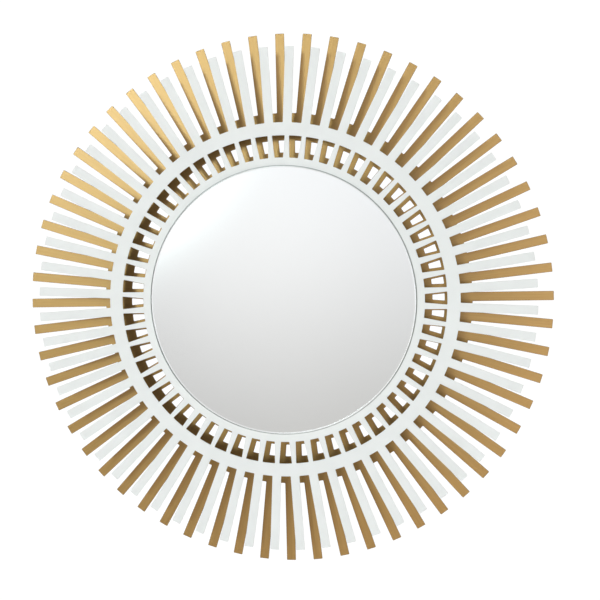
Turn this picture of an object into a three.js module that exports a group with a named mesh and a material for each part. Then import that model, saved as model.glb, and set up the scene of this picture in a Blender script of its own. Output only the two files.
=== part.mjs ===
// Sunburst wall mirror: a round glass in the middle of two flat suns cut from sheet metal,
// a white one in front and a gold one behind it, held apart by short stand-offs.
// Sizes are in millimetres. The wall is the plane y = 0, the mirror faces -Y and +Z is up.
// The origin is the middle of the gold sheet's back, the face that lies against the wall.

import * as THREE from 'three';

// Both suns
const rayCount = 60;
const sheetThickness = 1.5;
const firstRayAngle = THREE.MathUtils.degToRad(1.26);
const pitch = (2 * Math.PI) / rayCount;

// White sun in front: its spokes carry on the lines of its rays
const frontSun = {
  rayAngle: firstRayAngle + pitch / 2,
  spokeAngle: firstRayAngle + pitch / 2,
  rayEndRadius: 376,
  rayWidth: 13.2,
  ringOuterRadius: 264.3,
  ringInnerRadius: 245,
  discRadius: 212.3,
  spokeWidthAtRing: 6.5,
  spokeWidthAtDisc: 9.5,
};

// Gold sun behind: its rays show in the gaps of the white ones, its spokes stand behind theirs
const backSun = {
  rayAngle: firstRayAngle,
  spokeAngle: firstRayAngle + pitch / 2,
  rayEndRadius: 400,
  rayWidth: 13.7,
  ringOuterRadius: 281.4,
  ringInnerRadius: 240.1,
  discRadius: 222.1,
  spokeWidthAtRing: 14.6,
  spokeWidthAtDisc: 16,
};

// Keyhole in the gold sun, which drops over the head of a screw in the wall
const keyholeHeight = 130;
const keyholeMouthDiameter = 14;
const keyholeSlotWidth = 6;
const keyholeTravel = 16;
const keyholeSegments = 6;

// Stand-offs between the two suns
const standoffCount = 6;
const standoffCircleRadius = 150;
const standoffDiameter = 16;
const standoffSegments = 24;
const sunGap = 34;

// Mirror glass, bonded to the face of the white sun
const glassRadius = 200;
const glassThickness = 5;
const bevelWidth = 2;
const bevelDepth = 1;
const glassSegments = 120;

// Film of adhesive or paint left between pieces that touch
const film = 0.3;

// The point at a distance along a line from the middle, and off to its left
function pointOnRay(angle, along, across) {
  return new THREE.Vector2(
    along * Math.cos(angle) - across * Math.sin(angle),
    along * Math.sin(angle) + across * Math.cos(angle),
  );
}

// How far along its middle line a straight bar's edge crosses a circle
function edgeMeetsCircle(radius, halfWidth) {
  return Math.sqrt(radius * radius - halfWidth * halfWidth);
}

// The outer outline: square-ended rays standing on the outer ring
function sunOutline(sun) {
  const half = sun.rayWidth / 2;
  const root = edgeMeetsCircle(sun.ringOuterRadius, half);
  const points = [];
  for (let i = 0; i < rayCount; i += 1) {
    const angle = sun.rayAngle + i * pitch;
    points.push(pointOnRay(angle, root, -half));
    points.push(pointOnRay(angle, sun.rayEndRadius, -half));
    points.push(pointOnRay(angle, sun.rayEndRadius, half));
    points.push(pointOnRay(angle, root, half));
  }
  return new THREE.Shape(points);
}

// One window between the middle disc and the outer ring, with a spoke on either side
function sunWindow(sun, index) {
  const before = sun.spokeAngle + index * pitch;
  const after = before + pitch;
  const discHalf = sun.spokeWidthAtDisc / 2;
  const ringHalf = sun.spokeWidthAtRing / 2;
  const low = edgeMeetsCircle(sun.discRadius, discHalf);
  const high = edgeMeetsCircle(sun.ringInnerRadius, ringHalf);
  return new THREE.Path([
    pointOnRay(before, low, discHalf),
    pointOnRay(before, high, ringHalf),
    pointOnRay(after, high, -ringHalf),
    pointOnRay(after, low, -discHalf),
  ]);
}

// A round mouth for the screw's head with a round-ended slot for its shank above it
function keyhole() {
  const mouth = keyholeMouthDiameter / 2;
  const slot = keyholeSlotWidth / 2;
  const halfThroat = Math.asin(slot / mouth);
  const up = Math.PI / 2;
  const outline = new THREE.Path();
  outline.absarc(0, keyholeHeight, mouth, up + halfThroat, up - halfThroat + 2 * Math.PI, false);
  outline.absarc(0, keyholeHeight + keyholeTravel, slot, 0, Math.PI, false);
  outline.closePath();
  return outline;
}

// A sun cut from flat sheet, with its back at a distance from the wall
function cutSun(name, sun, moreHoles, fromWall, material) {
  const outline = sunOutline(sun);
  for (let i = 0; i < rayCount; i += 1) {
    outline.holes.push(sunWindow(sun, i));
  }
  outline.holes.push(...moreHoles);
  const sheet = new THREE.ExtrudeGeometry(outline, {
    depth: sheetThickness,
    bevelEnabled: false,
    curveSegments: keyholeSegments,
  });
  const mesh = new THREE.Mesh(sheet, material);
  mesh.name = name;
  mesh.position.z = fromWall;
  return mesh;
}

// The glass: a flat disc with its front edge ground to a narrow bevel
function roundGlass(name, fromWall, material) {
  const profile = [
    new THREE.Vector2(0, 0),
    new THREE.Vector2(glassRadius, 0),
    new THREE.Vector2(glassRadius, glassThickness - bevelDepth),
    new THREE.Vector2(glassRadius - bevelWidth, glassThickness),
    new THREE.Vector2(0, glassThickness),
  ];
  const mesh = new THREE.Mesh(new THREE.LatheGeometry(profile, glassSegments), material);
  mesh.name = name;
  mesh.rotation.x = Math.PI / 2;
  mesh.position.z = fromWall;
  return mesh;
}

// One stand-off: a short round post between the two sheets
function standoff(name, angle, material) {
  const radius = standoffDiameter / 2;
  const length = sunGap - 2 * film;
  const post = new THREE.CylinderGeometry(radius, radius, length, standoffSegments);
  const mesh = new THREE.Mesh(post, material);
  const place = pointOnRay(angle, standoffCircleRadius, 0);
  mesh.name = name;
  mesh.rotation.x = Math.PI / 2;
  mesh.position.set(place.x, place.y, sheetThickness + sunGap / 2);
  return mesh;
}

const whitePaint = new THREE.MeshStandardMaterial({ color: 0xeef0ee, roughness: 0.45, metalness: 0 });
const goldFinish = new THREE.MeshStandardMaterial({ color: 0xb8925a, roughness: 0.35, metalness: 1 });
const silveredGlass = new THREE.MeshStandardMaterial({ color: 0xe6e8e6, roughness: 0.03, metalness: 1 });

// The mirror is laid out flat on its back, then stood up against the wall
const mirror = new THREE.Group();
mirror.rotation.x = Math.PI / 2;

const frontFromWall = sheetThickness + sunGap;
mirror.add(cutSun('back_sunburst', backSun, [keyhole()], 0, goldFinish));
mirror.add(cutSun('front_sunburst', frontSun, [], frontFromWall, whitePaint));
mirror.add(roundGlass('mirror_glass', frontFromWall + sheetThickness + film, silveredGlass));

for (let i = 0; i < standoffCount; i += 1) {
  const zincPlate = new THREE.MeshStandardMaterial({ color: 0xb9bbb8, roughness: 0.4, metalness: 1 });
  mirror.add(standoff(`standoff_${i + 1}`, (i * 2 * Math.PI) / standoffCount, zincPlate));
}

export default mirror;
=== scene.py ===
import math
import random
from types import SimpleNamespace

import bmesh
import bpy
from mathutils import Matrix, Vector
from mathutils.geometry import delaunay_2d_cdt


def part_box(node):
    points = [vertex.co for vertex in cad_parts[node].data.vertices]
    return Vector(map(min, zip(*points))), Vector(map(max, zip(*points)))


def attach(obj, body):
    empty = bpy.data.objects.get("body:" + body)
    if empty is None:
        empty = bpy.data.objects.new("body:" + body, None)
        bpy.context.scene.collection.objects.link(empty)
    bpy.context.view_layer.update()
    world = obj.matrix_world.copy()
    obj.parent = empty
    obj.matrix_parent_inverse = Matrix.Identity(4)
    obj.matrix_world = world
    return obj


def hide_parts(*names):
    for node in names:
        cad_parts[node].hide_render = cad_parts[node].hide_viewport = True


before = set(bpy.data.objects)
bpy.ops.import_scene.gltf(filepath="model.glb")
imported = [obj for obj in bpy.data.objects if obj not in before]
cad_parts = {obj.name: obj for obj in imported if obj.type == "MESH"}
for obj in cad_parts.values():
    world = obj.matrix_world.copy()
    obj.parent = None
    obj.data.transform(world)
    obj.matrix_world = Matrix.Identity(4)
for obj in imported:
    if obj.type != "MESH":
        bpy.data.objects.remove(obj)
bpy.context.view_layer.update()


# The gold sun lies against the wall. It is cut in one piece from steel sheet, brushed from the middle
# outwards and lacquered gold. A keyhole above its middle drops over the head of the screw it hangs on.
mm = 0.001
ray_count = 60
pitch = math.tau / ray_count
first_ray = math.radians(1.26)
edge_ease = 0.25 * mm
edge_band = 0.55 * mm
edge_mark = "cut_edge"
corner_reach = 0.9 * mm
ray_steps = 6
arc_steps = 4
inside_only = 1
weld = 1e-9

gold_sheet = SimpleNamespace(
    ray_angle=first_ray,
    spoke_angle=first_ray + pitch / 2,
    ray_end=400 * mm,
    ray_width=13.7 * mm,
    ring_outer=281.4 * mm,
    ring_inner=240.1 * mm,
    disc=222.1 * mm,
    spoke_at_ring=14.6 * mm,
    spoke_at_disc=16 * mm,
)
keyhole_height = 130 * mm
keyhole_mouth = 7 * mm
keyhole_slot = 3 * mm
keyhole_travel = 16 * mm
keyhole_steps = 24
gold_lean = 0.010
gold_sway = 0.003
gold_seed = 11
gold_deep = (0.300, 0.168, 0.048, 1)
gold_bright = (0.420, 0.250, 0.088, 1)
gold_cut = (0.096, 0.052, 0.016, 1)
gold_cut_shows = 0.8
gold_fine_streaks = (1000, 22, 40)
gold_broad_streaks = (150, 7, 40)
gold_clouds = (16, 16, 16)
gold_streak_range = (0.25, 0.75)
gold_fine_share = 0.45
gold_broad_share = 0.35
gold_cloud_share = 0.20
gold_roughness = 0.31
gold_streak_dulls = 0.08
gold_cut_dulls = 0.10
gold_streak_depth = 0.006 * mm


def on_ray(angle, along, across=0.0):
    """The point at a distance along a line from the middle, and off to its left."""
    return Vector((
        along * math.cos(angle) - across * math.sin(angle),
        along * math.sin(angle) + across * math.cos(angle),
    ))


def turn_of(point):
    """The angle at which a point lies round the middle."""
    return math.atan2(point.y, point.x)


def arc(middle, radius, start, end, steps):
    """The points round an arc, both its ends among them."""
    turns = [start + (end - start) * i / steps for i in range(steps + 1)]
    return [middle + radius * Vector((math.cos(turn), math.sin(turn))) for turn in turns]


def round_ring(radius, near, far):
    """The points that take a cut line round a ring from one place to another, without its ends."""
    start = turn_of(near)
    swing = math.remainder(turn_of(far) - start, math.tau)
    return arc(Vector((0, 0)), radius, start, start + swing, arc_steps)[1:-1]


def between(start, end, steps):
    """The points that part a straight stretch into equal steps, without its ends."""
    return [start.lerp(end, i / steps) for i in range(1, steps)]


def turned_corner(before, corner, after):
    """Three points that take a cut line round a corner."""
    start = corner + (before - corner).normalized() * corner_reach
    end = corner + (after - corner).normalized() * corner_reach
    return [start, (start + 2 * corner + end) / 4, end]


def bar_meets_circle(radius, width):
    """How far along its middle line the side of a straight bar crosses a circle."""
    return math.sqrt(radius * radius - width * width / 4)


def sun_outline(sheet):
    """The outer cut line, counter-clockwise: square-ended rays that stand on the outer ring."""
    half = sheet.ray_width / 2
    foot = bar_meets_circle(sheet.ring_outer, sheet.ray_width)
    line = []
    for i in range(ray_count):
        angle = sheet.ray_angle + i * pitch
        last_foot = on_ray(angle - pitch, foot, half)
        right_foot = on_ray(angle, foot, -half)
        right_tip = on_ray(angle, sheet.ray_end, -half)
        left_tip = on_ray(angle, sheet.ray_end, half)
        left_foot = on_ray(angle, foot, half)
        next_foot = on_ray(angle + pitch, foot, -half)
        line += turned_corner(last_foot, right_foot, right_tip)
        line += between(right_foot, right_tip, ray_steps)
        line += turned_corner(right_foot, right_tip, left_tip)
        line += turned_corner(right_tip, left_tip, left_foot)
        line += between(left_tip, left_foot, ray_steps)
        line += turned_corner(left_tip, left_foot, next_foot)
        line += round_ring(sheet.ring_outer, left_foot, next_foot)
    return line


def sun_window(sheet, index):
    """One window between two spokes, clockwise: narrow at the middle disc, wider at the outer ring."""
    here = sheet.spoke_angle + index * pitch
    there = here + pitch
    low = bar_meets_circle(sheet.disc, sheet.spoke_at_disc)
    high = bar_meets_circle(sheet.ring_inner, sheet.spoke_at_ring)
    low_here = on_ray(here, low, sheet.spoke_at_disc / 2)
    high_here = on_ray(here, high, sheet.spoke_at_ring / 2)
    high_there = on_ray(there, high, -sheet.spoke_at_ring / 2)
    low_there = on_ray(there, low, -sheet.spoke_at_disc / 2)
    line = turned_corner(low_here, high_here, high_there)
    line += round_ring(sheet.ring_inner, high_here, high_there)
    line += turned_corner(high_here, high_there, low_there)
    line += turned_corner(high_there, low_there, low_here)
    line += round_ring(sheet.disc, low_there, low_here)
    line += turned_corner(low_there, low_here, high_here)
    return line[::-1]


def keyhole_line():
    """The keyhole, clockwise: a round mouth for the screw's head below a slot for its shank."""
    throat = math.asin(keyhole_slot / keyhole_mouth)
    up = math.pi / 2
    mouth = Vector((0, keyhole_height))
    slot_end = Vector((0, keyhole_height + keyhole_travel))
    line = arc(mouth, keyhole_mouth, up + throat, up - throat + math.tau, keyhole_steps)
    line += arc(slot_end, keyhole_slot, 0, math.pi, keyhole_steps // 2)
    return line[::-1]


def drawn_in(line, distance):
    """A cut line moved into the metal, which lies on its left."""
    moved = []
    for i, point in enumerate(line):
        run_in = (point - line[i - 1]).normalized()
        run_out = (line[(i + 1) % len(line)] - point).normalized()
        side = Vector((-run_in.y - run_out.y, run_in.x + run_out.x))
        moved.append(point + side * (2 * distance / side.length_squared))
    return moved


def flat_face(points, rims):
    """The triangles of a flat face: inside its first rim of points and outside the others."""
    corners = [corner for rim in rims for corner in rim]
    flat = [Vector((points[corner][0], points[corner][2])) for corner in corners]
    shapes = []
    start = 0
    for rim in rims:
        shapes.append(list(range(start, start + len(rim))))
        start += len(rim)
    shapes[1:] = [hole[::-1] for hole in shapes[1:]]
    _, _, made, sources, _, owners = delaunay_2d_cdt(flat, [], shapes, inside_only, weld)
    metal = [face for face, shape in zip(made, owners) if shape == [0]]
    return [[corners[sources[corner][0]] for corner in face] for face in metal]


def cut_sheet(name, lines, front, back):
    """A flat sheet cut along closed lines, its edges eased, with a narrow band of faces inside them."""
    slope = edge_ease * (1 - math.sqrt(0.5))
    steps_in = [
        (edge_band, front, 0), (edge_ease, front, 1), (slope, front + slope, 1), (0, front + edge_ease, 1),
        (0, back - edge_ease, 1), (slope, back - slope, 1), (edge_ease, back, 1), (edge_band, back, 0),
    ]
    points = []
    faces = []
    edge_marks = []
    front_rims = []
    back_rims = []
    for line in lines:
        first = len(points)
        count = len(line)
        for distance, depth, mark in steps_in:
            points += [(p.x, depth, p.y) for p in drawn_in(line, distance)]
            edge_marks += [mark] * count
        for ring in range(len(steps_in) - 1):
            low = first + ring * count
            for i in range(count):
                j = (i + 1) % count
                faces.append((low + j, low + i, low + count + i, low + count + j))
        front_rims.append(range(first, first + count))
        back_rims.append(range(len(points) - count, len(points)))
    faces += flat_face(points, front_rims)
    faces += [face[::-1] for face in flat_face(points, back_rims)]
    mesh = bpy.data.meshes.new(name)
    mesh.from_pydata(points, [], faces)
    mesh.attributes.new(edge_mark, "FLOAT", "POINT").data.foreach_set("value", edge_marks)
    piece = bpy.data.objects.new(name, mesh)
    bpy.context.collection.objects.link(piece)
    return piece


def bend_rays(piece, sheet, lean, sway, seed):
    """Leaves each ray a little off the flat and off its line, as handling does."""
    chance = random.Random(seed)
    leans = [chance.uniform(0, lean) for _ in range(ray_count)]
    sways = [chance.uniform(-sway, sway) for _ in range(ray_count)]
    foot = bar_meets_circle(sheet.ring_outer, sheet.ray_width)
    for vertex in piece.data.vertices:
        at = Vector((vertex.co.x, vertex.co.z))
        index = round((turn_of(at) - sheet.ray_angle) / pitch) % ray_count
        angle = sheet.ray_angle + index * pitch
        beyond = at.dot(on_ray(angle, 1)) - foot
        if beyond > 0:
            aside = on_ray(angle, 0, sways[index] * beyond)
            vertex.co += Vector((aside.x, -leans[index] * beyond, aside.y))


class Wire:
    """A socket in a tree of nodes. A sum or product of wires adds the Math nodes that work it out."""

    def __init__(self, tree, socket=None):
        self.tree = tree
        self.socket = socket

    def node(self, kind, settings, sockets):
        """A new node's outputs: its settings are set first, then the values or links of its sockets."""
        node = self.tree.nodes.new(kind)
        for name, value in settings.items():
            setattr(node, name, value)
        for name, value in sockets.items():
            if isinstance(value, Wire):
                self.tree.links.new(value.socket, node.inputs[name])
            else:
                node.inputs[name].default_value = value
        return [Wire(self.tree, socket) for socket in node.outputs if socket.enabled]

    def math(self, operation, *values):
        return self.node("ShaderNodeMath", {"operation": operation}, dict(enumerate(values)))[0]

    def __add__(self, other):
        return self.math("ADD", self, other)

    def __sub__(self, other):
        return self.math("SUBTRACT", self, other)

    def __rsub__(self, other):
        return self.math("SUBTRACT", other, self)

    def __mul__(self, other):
        return self.math("MULTIPLY", self, other)

    def __pow__(self, other):
        return self.math("POWER", self, other)

    __radd__ = __add__
    __rmul__ = __mul__

    def place(self):
        """Where a point of the piece lies, in metres."""
        return self.node("ShaderNodeTexCoord", {}, {})[3]

    def parts(self):
        """The three parts of the vector that this wire carries."""
        return self.node("ShaderNodeSeparateXYZ", {}, {"Vector": self})

    def noise(self, cells, detail=2.0):
        """Soft random values from 0 to 1, with so many cells to one unit along each axis."""
        stretched = self.node("ShaderNodeVectorMath", {"operation": "MULTIPLY"}, {0: self, 1: cells})[0]
        return self.node("ShaderNodeTexNoise", {}, {"Vector": stretched, "Scale": 1.0, "Detail": detail})[0]

    def spread(self, low, high):
        """This value stretched so that low becomes 0 and high becomes 1, and held there."""
        return self.node("ShaderNodeMapRange", {}, {"Value": self, "From Min": low, "From Max": high})[0]

    def blend(self, low, high):
        """A colour that goes from low to high as this value goes from 0 to 1."""
        return self.node("ShaderNodeMix", {"data_type": "RGBA"}, {"Factor": self, 6: low, 7: high})[0]

    def bump(self, depth):
        """A surface raised by this value times a depth in metres."""
        return self.node("ShaderNodeBump", {}, {"Height": self, "Distance": depth, "Strength": 1.0})[0]

    def to(self, shader, name):
        self.tree.links.new(self.socket, shader.inputs[name])


def new_finish(name, **plain):
    """A material, the wires to build it with, and its shader with the values that are plain all over."""
    finish = bpy.data.materials.new(name)
    finish.use_nodes = True
    shader = finish.node_tree.nodes["Principled BSDF"]
    for socket, value in plain.items():
        shader.inputs[socket.replace("_", " ")].default_value = value
    return finish, Wire(finish.node_tree), shader


def brushed_gold():
    """Lacquered gold with streaks that run out from the middle, darker where it was cut."""
    finish, wire, shader = new_finish("brushed_gold", Metallic=1.0, Coat_Weight=0.5, Coat_Roughness=0.25)
    place = wire.place()
    x, y, z = place.parts()
    turn = wire.math("ARCTAN2", z, x)
    out = (x * x + z * z) ** 0.5
    brushing = wire.node("ShaderNodeCombineXYZ", {}, {0: turn, 1: out, 2: y})[0]
    fine = brushing.noise(gold_fine_streaks)
    broad = brushing.noise(gold_broad_streaks)
    cloud = place.noise(gold_clouds)
    streak = fine.spread(*gold_streak_range) * gold_fine_share
    streak += broad.spread(*gold_streak_range) * gold_broad_share + cloud * gold_cloud_share
    cut = wire.node("ShaderNodeAttribute", {"attribute_name": edge_mark}, {})[2]
    face = streak.blend(gold_deep, gold_bright)
    (cut ** 2 * gold_cut_shows).blend(face, gold_cut).to(shader, "Base Color")
    (gold_roughness + streak * gold_streak_dulls + cut * gold_cut_dulls).to(shader, "Roughness")
    fine.bump(gold_streak_depth).to(shader, "Normal")
    return finish


gold_low, gold_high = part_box("back_sunburst")
gold_lines = [sun_outline(gold_sheet)]
gold_lines += [sun_window(gold_sheet, i) for i in range(ray_count)]
gold_lines.append(keyhole_line())
gold_sun = cut_sheet("gold_sun", gold_lines, gold_low.y, gold_high.y)
bend_rays(gold_sun, gold_sheet, gold_lean, gold_sway, gold_seed)
gold_sun.data.materials.append(brushed_gold())
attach(gold_sun, "root")
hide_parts("back_sunburst")


# Six round posts hold the two suns apart. Each is turned from steel bar, chamfered at both ends, zinc
# plated, and fixed to the sheets behind the glass, where the front doesn't show it.
film = 0.05 * mm
post_chamfer = 0.8 * mm
post_sides = 64
smooth_facets = 1.1
zinc_dark = (0.36, 0.37, 0.38, 1)
zinc_light = (0.58, 0.59, 0.60, 1)
zinc_lines = (60, 2500, 60)
zinc_clouds = (220, 220, 220)
zinc_roughness = 0.30
zinc_cloud_dulls = 0.20
zinc_line_depth = 0.02 * mm


def turned(name, profile, x, z, sides):
    """A closed piece turned on an axis from front to back, smooth over turns of about one facet.

    Its profile gives the radius and the depth of each ring of points, from the front to the back.
    """
    points = []
    faces = []
    for radius, depth in profile:
        for i in range(sides):
            turn = math.tau * i / sides
            points.append((x + radius * math.cos(turn), depth, z + radius * math.sin(turn)))
    for ring in range(len(profile) - 1):
        low = ring * sides
        for i in range(sides):
            j = (i + 1) % sides
            faces.append((low + j, low + i, low + sides + i, low + sides + j))
    faces.append(range(sides))
    faces.append(range(len(points) - 1, len(points) - 1 - sides, -1))
    mesh = bpy.data.meshes.new(name)
    mesh.from_pydata(points, [], faces)
    mesh.shade_smooth()
    mesh.set_sharp_from_angle(angle=smooth_facets * math.tau / sides)
    piece = bpy.data.objects.new(name, mesh)
    bpy.context.collection.objects.link(piece)
    return piece


def zinc_plate():
    """Bright zinc over fine turning lines, a little clouded."""
    finish, wire, shader = new_finish("zinc_plate", Metallic=1.0)
    place = wire.place()
    lines = place.noise(zinc_lines)
    cloud = place.noise(zinc_clouds)
    (lines * 0.5 + cloud * 0.5).blend(zinc_dark, zinc_light).to(shader, "Base Color")
    (zinc_roughness + cloud * zinc_cloud_dulls).to(shader, "Roughness")
    lines.bump(zinc_line_depth).to(shader, "Normal")
    return finish


white_low, white_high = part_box("front_sunburst")
zinc = zinc_plate()
for node in sorted(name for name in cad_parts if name.startswith("standoff_")):
    low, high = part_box(node)
    radius = (high.x - low.x) / 2
    post = turned(node.replace("standoff", "post"), [
        (radius - post_chamfer, white_high.y + film),
        (radius, white_high.y + film + post_chamfer),
        (radius, gold_low.y - film - post_chamfer),
        (radius - post_chamfer, gold_low.y - film),
    ], (low.x + high.x) / 2, (low.z + high.z) / 2, post_sides)
    post.data.materials.append(zinc)
    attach(post, "root")
    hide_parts(node)


# The white sun stands in front of the gold one on the posts. It is cut from the same sheet and powder
# coated satin white, with shorter rays that leave the gold ones showing in the gaps between them. Its
# back is painted a dark grey, painted shade for the gap between the suns. A dark ring painted on its
# face round the glass is painted shadow under the glass's edge.
white_sheet = SimpleNamespace(
    ray_angle=first_ray + pitch / 2,
    spoke_angle=first_ray + pitch / 2,
    ray_end=376 * mm,
    ray_width=13.2 * mm,
    ring_outer=264.3 * mm,
    ring_inner=245 * mm,
    disc=212.3 * mm,
    spoke_at_ring=6.5 * mm,
    spoke_at_disc=9.5 * mm,
)
white_lean = 0.006
white_sway = 0.002
white_seed = 5
white_shade = (0.835, 0.838, 0.822, 1)
white_body = (0.885, 0.888, 0.872, 1)
white_thin = (0.740, 0.755, 0.735, 1)
white_thin_shows = 0.35
gap_shade_grey = (0.270, 0.275, 0.270, 1)
white_clouds = (25, 25, 25)
white_cloud_range = (0.2, 0.7)
white_peel = (700, 700, 700)
white_roughness = 0.42
white_peel_dulls = 0.12
white_peel_depth = 0.03 * mm
glass_shadow_width = 1.5 * mm
glass_shadow_grey = (0.115, 0.120, 0.118, 1)


def powder_coat():
    """Satin white powder coat with a faint orange peel, thinner over the cut edges.

    Its back is painted dark grey as painted shade for the gap between the suns, and a dark ring round
    the glass is painted shadow under the glass's edge.
    """
    finish, wire, shader = new_finish("white_powder_coat", Specular_IOR_Level=0.4)
    place = wire.place()
    x, depth, z = place.parts()
    peel = place.noise(white_peel)
    cut = wire.node("ShaderNodeAttribute", {"attribute_name": edge_mark}, {})[2]
    coat = place.noise(white_clouds).spread(*white_cloud_range).blend(white_shade, white_body)
    edged = (cut ** 2 * white_thin_shows).blend(coat, white_thin)
    out = (x * x + z * z) ** 0.5
    # Painted shadow: a dark ring on the paint just outside the glass stands for the shadow under its edge.
    face = out.spread(glass_radius, glass_radius + glass_shadow_width).blend(glass_shadow_grey, edged)
    # Painted shade: the back of the sheet takes a dark grey so that the gap between the suns looks shaded.
    depth.spread(white_high.y - edge_ease, white_high.y).blend(face, gap_shade_grey).to(shader, "Base Color")
    (white_roughness + peel * white_peel_dulls).to(shader, "Roughness")
    peel.bump(white_peel_depth).to(shader, "Normal")
    return finish


glass_low, glass_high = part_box("mirror_glass")
glass_radius = (glass_high.x - glass_low.x) / 2
white_lines = [sun_outline(white_sheet)]
white_lines += [sun_window(white_sheet, i) for i in range(ray_count)]
white_sun = cut_sheet("white_sun", white_lines, white_low.y, white_high.y)
bend_rays(white_sun, white_sheet, white_lean, white_sway, white_seed)
white_sun.data.materials.append(powder_coat())
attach(white_sun, "root")
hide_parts("front_sunburst")


# The mirror is a disc of clear float glass, silvered on its back and bonded to the middle of the white
# sun. Its face ends in a narrow polished bevel, and outside that the rim is ground to a dull grey green.
glass_bevel = 1.6 * mm
glass_bevel_depth = 0.22 * mm
glass_chamfer = 0.5 * mm
glass_chamfer_depth = 0.5 * mm
glass_sides = 360
glass_ior = 1.52
glass_clear = (0.990, 0.993, 0.991, 1)
glass_green = (0.60, 0.80, 0.72, 1)
glass_absorbs = 3.0
smear_cells = (9, 9, 9)
smear_detail = 4.0
smear_range = (0.55, 0.85)
smear_dulls = 0.012
silver_bright = (0.955, 0.955, 0.955, 1)
silver_dull = (0.930, 0.930, 0.930, 1)
silver_clouds = (7, 7, 7)
silver_cloud_dulls = 0.01
shaded_chamfer_dark = (0.52, 0.56, 0.545, 1)
shaded_chamfer_light = (0.68, 0.72, 0.705, 1)
rim_dark = (0.66, 0.70, 0.68, 1)
rim_light = (0.82, 0.86, 0.84, 1)
rim_grit = (1500, 1500, 1500)
rim_clouds = (40, 40, 40)
rim_mottle_range = (0.3, 0.7)
rim_roughness = 0.35
rim_grit_dulls = 0.30
rim_grit_depth = 0.03 * mm


def clear_glass():
    """Polished float glass, faintly green in its depth and dusted with fine smears."""
    finish, wire, shader = new_finish(
        "clear_glass", Base_Color=glass_clear, IOR=glass_ior, Transmission_Weight=1.0)
    smear = wire.place().noise(smear_cells, smear_detail)
    (smear.spread(*smear_range) * smear_dulls).to(shader, "Roughness")
    depth = wire.node("ShaderNodeVolumeAbsorption", {}, {"Color": glass_green, "Density": glass_absorbs})[0]
    depth.to(finish.node_tree.nodes["Material Output"], "Volume")
    return finish


def ground_rim():
    """The rim as the grinding wheel left it: dull and finely scored, with its front chamfer darker as
    painted shade.
    """
    finish, wire, shader = new_finish("ground_rim", IOR=glass_ior)
    place = wire.place()
    grit = place.noise(rim_grit)
    mottle = (grit * 0.5 + place.noise(rim_clouds) * 0.5).spread(*rim_mottle_range)
    # Painted shade: the front chamfer takes darker greys than the wall, for the dark line round the glass.
    chamfer = mottle.blend(shaded_chamfer_dark, shaded_chamfer_light)
    wall = place.parts()[1].spread(chamfer_end, chamfer_end + glass_chamfer_depth)
    wall.blend(chamfer, mottle.blend(rim_dark, rim_light)).to(shader, "Base Color")
    (rim_roughness + grit * rim_grit_dulls).to(shader, "Roughness")
    grit.bump(rim_grit_depth).to(shader, "Normal")
    return finish


def silvering():
    """The silver film on the back of the glass, a shade duller in broad clouds."""
    finish, wire, shader = new_finish("silvering", Metallic=1.0)
    cloud = wire.place().noise(silver_clouds)
    cloud.blend(silver_bright, silver_dull).to(shader, "Base Color")
    (cloud * silver_cloud_dulls).to(shader, "Roughness")
    return finish


chamfer_end = glass_low.y + glass_bevel_depth + glass_chamfer_depth
mirror = turned("mirror_pane", [
    (glass_radius - glass_chamfer - glass_bevel, glass_low.y),
    (glass_radius - glass_chamfer, glass_low.y + glass_bevel_depth),
    (glass_radius, chamfer_end),
    (glass_radius, white_low.y - film - glass_bevel_depth),
    (glass_radius - glass_bevel_depth, white_low.y - film),
], 0, 0, glass_sides)
for finish in (clear_glass(), ground_rim(), silvering()):
    mirror.data.materials.append(finish)
rim_faces = mirror.data.polygons[glass_sides:-2]
for face in rim_faces:
    face.material_index = 1
back_face = mirror.data.polygons[-1]
back_face.material_index = 2
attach(mirror, "root")
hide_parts("mirror_glass")


# The studio: a pale floor below the mirror that melts into a white backdrop, one lamp for the floor and
# one for the paint, and the soft lights of a room that the gold and the glass reflect: a tall lamp to
# the left, pale walls, and the glow of a floor.
floor_height = -1.0
floor_radius = 1.2
floor_fade = 0.7
floor_sides = 96
floor_dark = (0.84, 0.84, 0.83, 1)
floor_light = (0.90, 0.90, 0.89, 1)
floor_clouds = (3, 3, 3)
floor_lamp = SimpleNamespace(behind=1.0, above=3.0, width=2.0, power=50.0)
paint_lamp = SimpleNamespace(left=14.5, up=8.5, away=5.0, width=0.48, power=51.0)
backdrop_radius = 8.0
backdrop_facets = 3
backdrop_white = 1.05
front_light = (0.17, 0.17, 0.17, 1)
back_light = (1.10, 1.10, 1.10, 1)
back_range = (0.25, 0.60)
lamp_tint = (0.82, 1.00, 1.00)
wall_tint = (0.94, 1.00, 1.08)
plain_tint = (1.00, 1.00, 1.00)
floor_tint = (1.06, 0.99, 0.88)
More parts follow.
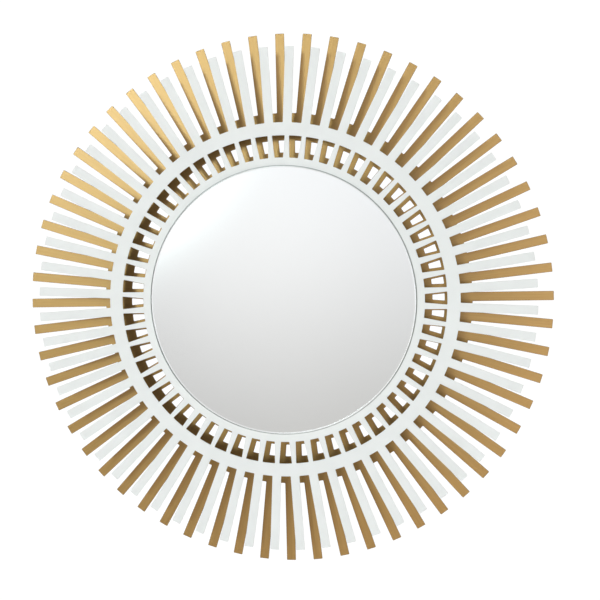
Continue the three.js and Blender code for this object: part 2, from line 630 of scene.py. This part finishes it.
soft_lights = [
    SimpleNamespace(left=18, up=6, reach=3.5, light=23.0, tint=lamp_tint),
    SimpleNamespace(left=20, up=3, reach=4, light=1.4, tint=lamp_tint),
    SimpleNamespace(left=18, up=12, reach=4, light=10.0, tint=lamp_tint),
    SimpleNamespace(left=12, up=17, reach=4, light=4.5, tint=lamp_tint),
    SimpleNamespace(left=0, up=14, reach=10, light=0.70, tint=wall_tint),
    SimpleNamespace(left=12, up=14, reach=10, light=0.38, tint=wall_tint),
    SimpleNamespace(left=-14, up=0, reach=8, light=4.3, tint=wall_tint),
    SimpleNamespace(left=0, up=42, reach=18, light=0.40, tint=wall_tint),
    SimpleNamespace(left=-2, up=0, reach=10, light=0.21, tint=plain_tint),
    SimpleNamespace(left=10, up=0, reach=10, light=0.61, tint=plain_tint),
    SimpleNamespace(left=23, up=-2, reach=10, light=0.18, tint=plain_tint),
    SimpleNamespace(left=10, up=-14, reach=10, light=0.05, tint=plain_tint),
    SimpleNamespace(left=-14, up=-12, reach=8, light=2.0, tint=plain_tint),
    SimpleNamespace(left=50, up=-14, reach=20, light=0.45, tint=plain_tint),
    SimpleNamespace(left=-50, up=-14, reach=20, light=0.45, tint=plain_tint),
    SimpleNamespace(left=95, up=0, reach=22, light=0.90, tint=plain_tint),
    SimpleNamespace(left=-95, up=0, reach=22, light=0.90, tint=plain_tint),
    SimpleNamespace(left=0, up=-30, reach=14, light=1.15, tint=floor_tint),
    SimpleNamespace(left=-20, up=-30, reach=14, light=0.80, tint=floor_tint),
    SimpleNamespace(left=22, up=-32, reach=14, light=0.36, tint=floor_tint),
]


def painted_floor():
    """A plain pale floor with the faintest cloudiness, melting into the backdrop towards its edge."""
    finish, wire, shader = new_finish("pale_floor", Roughness=0.7)
    place = wire.place()
    out = wire.node("ShaderNodeVectorMath", {"operation": "LENGTH"}, {0: place})[0]
    (1 - out.spread(floor_fade, floor_radius)).to(shader, "Alpha")
    place.noise(floor_clouds).blend(floor_dark, floor_light).to(shader, "Base Color")
    return finish


def white_backdrop():
    """A white that lights nothing and only stands behind the mirror."""
    return new_finish("white_backdrop", Base_Color=(0, 0, 0, 1), Specular_IOR_Level=0.0,
                      Emission_Color=(1, 1, 1, 1), Emission_Strength=backdrop_white)[0]


def out_front(left, up):
    """The direction from the mirror's middle that lies so many degrees left of its front, and up."""
    left = math.radians(left)
    up = math.radians(up)
    return Vector((-math.sin(left) * math.cos(up), -math.cos(left) * math.cos(up), math.sin(up)))


def hang_lamp(name, lamp, place, aim):
    """A round soft lamp at a place, turned to what it lights, which no shiny piece reflects."""
    light = bpy.data.lights.new(name, "AREA")
    light.shape = "DISK"
    light.size = lamp.width
    light.energy = lamp.power
    stand = bpy.data.objects.new(name, light)
    stand.location = place
    stand.rotation_euler = (aim - place).to_track_quat("-Z", "Y").to_euler()
    stand.visible_glossy = False
    stand.visible_camera = False
    bpy.context.collection.objects.link(stand)


def glow(towards, soft):
    """How brightly a soft light shines from a direction. At its reach it has faded to about a third."""
    facing = towards.node("ShaderNodeVectorMath", {"operation": "DOT_PRODUCT"},
                          {0: towards, 1: out_front(soft.left, soft.up)})[0]
    fade = 2 / math.radians(soft.reach) ** 2
    return towards.math("EXPONENT", (facing - 1) * fade) * soft.light


floor_edge = [on_ray(math.tau * i / floor_sides, floor_radius).to_3d() for i in range(floor_sides)]
floor_mesh = bpy.data.meshes.new("studio_floor")
floor_mesh.from_pydata(floor_edge, [], [range(floor_sides)])
floor_mesh.materials.append(painted_floor())
floor = bpy.data.objects.new("studio_floor", floor_mesh)
floor.location.z = floor_height
bpy.context.collection.objects.link(floor)

over_floor = Vector((0, floor_lamp.behind, floor_lamp.above))
hang_lamp("floor_lamp", floor_lamp, over_floor, Vector((0, floor_lamp.behind, floor_height)))
to_the_left = out_front(paint_lamp.left, paint_lamp.up) * paint_lamp.away
hang_lamp("paint_lamp", paint_lamp, to_the_left, Vector((0, 0, 0)))

room = bpy.data.worlds.new("studio")
room.use_nodes = True
bpy.context.scene.world = room
towards = Wire(room.node_tree).node("ShaderNodeTexCoord", {}, {})[0]
room_light = towards.parts()[1].spread(*back_range).blend(front_light, back_light)
for soft in soft_lights:
    room_light = towards.node("ShaderNodeVectorMath", {"operation": "MULTIPLY_ADD"},
                              {0: glow(towards, soft), 1: soft.tint, 2: room_light})[0]
room_light.to(room.node_tree.nodes["Background"], "Color")

backdrop_mesh = bpy.data.meshes.new("backdrop")
shell = bmesh.new()
bmesh.ops.create_icosphere(shell, subdivisions=backdrop_facets, radius=backdrop_radius)
shell.to_mesh(backdrop_mesh)
shell.free()
backdrop_mesh.materials.append(white_backdrop())
backdrop = bpy.data.objects.new("backdrop", backdrop_mesh)
bpy.context.collection.objects.link(backdrop)
for kind in ("diffuse", "glossy", "transmission", "shadow", "volume_scatter"):
    setattr(backdrop, f"visible_{kind}", False)


# The camera stands a little to the right of the mirror's middle and a little above it. Its aim puts the
# middle of the gold sun on the pixel where the photograph has it.
photo_size = 600
gold_middle_pixel = (285.54, 299.36)
camera_round = math.radians(8.069)
camera_above = math.radians(2.870)
camera_away = 1.8976
sensor_width = 36.0
lens_length = 74.98

focal_pixels = lens_length / sensor_width * photo_size
gold_middle = Vector((0, gold_low.y, 0))
look = Vector((
    -math.sin(camera_round) * math.cos(camera_above),
    math.cos(camera_round) * math.cos(camera_above),
    -math.sin(camera_above),
))
right = look.cross(Vector((0, 0, 1))).normalized()
upward = right.cross(look)
off_right = (gold_middle_pixel[0] - photo_size / 2) / focal_pixels
off_up = (photo_size / 2 - gold_middle_pixel[1]) / focal_pixels
camera_place = gold_middle - (look + off_right * right + off_up * upward) * camera_away
camera_data = bpy.data.cameras.new("camera")
camera_data.sensor_width = sensor_width
camera_data.lens = lens_length
camera = bpy.data.objects.new("camera", camera_data)
turned_to = Matrix((right, upward, -look)).transposed()
camera.matrix_world = Matrix.Translation(camera_place) @ turned_to.to_4x4()
bpy.context.collection.objects.link(camera)
bpy.context.scene.camera = camera
bpy.context.scene.view_settings.view_transform = "Standard"
bpy.context.scene.view_settings.look = "None"
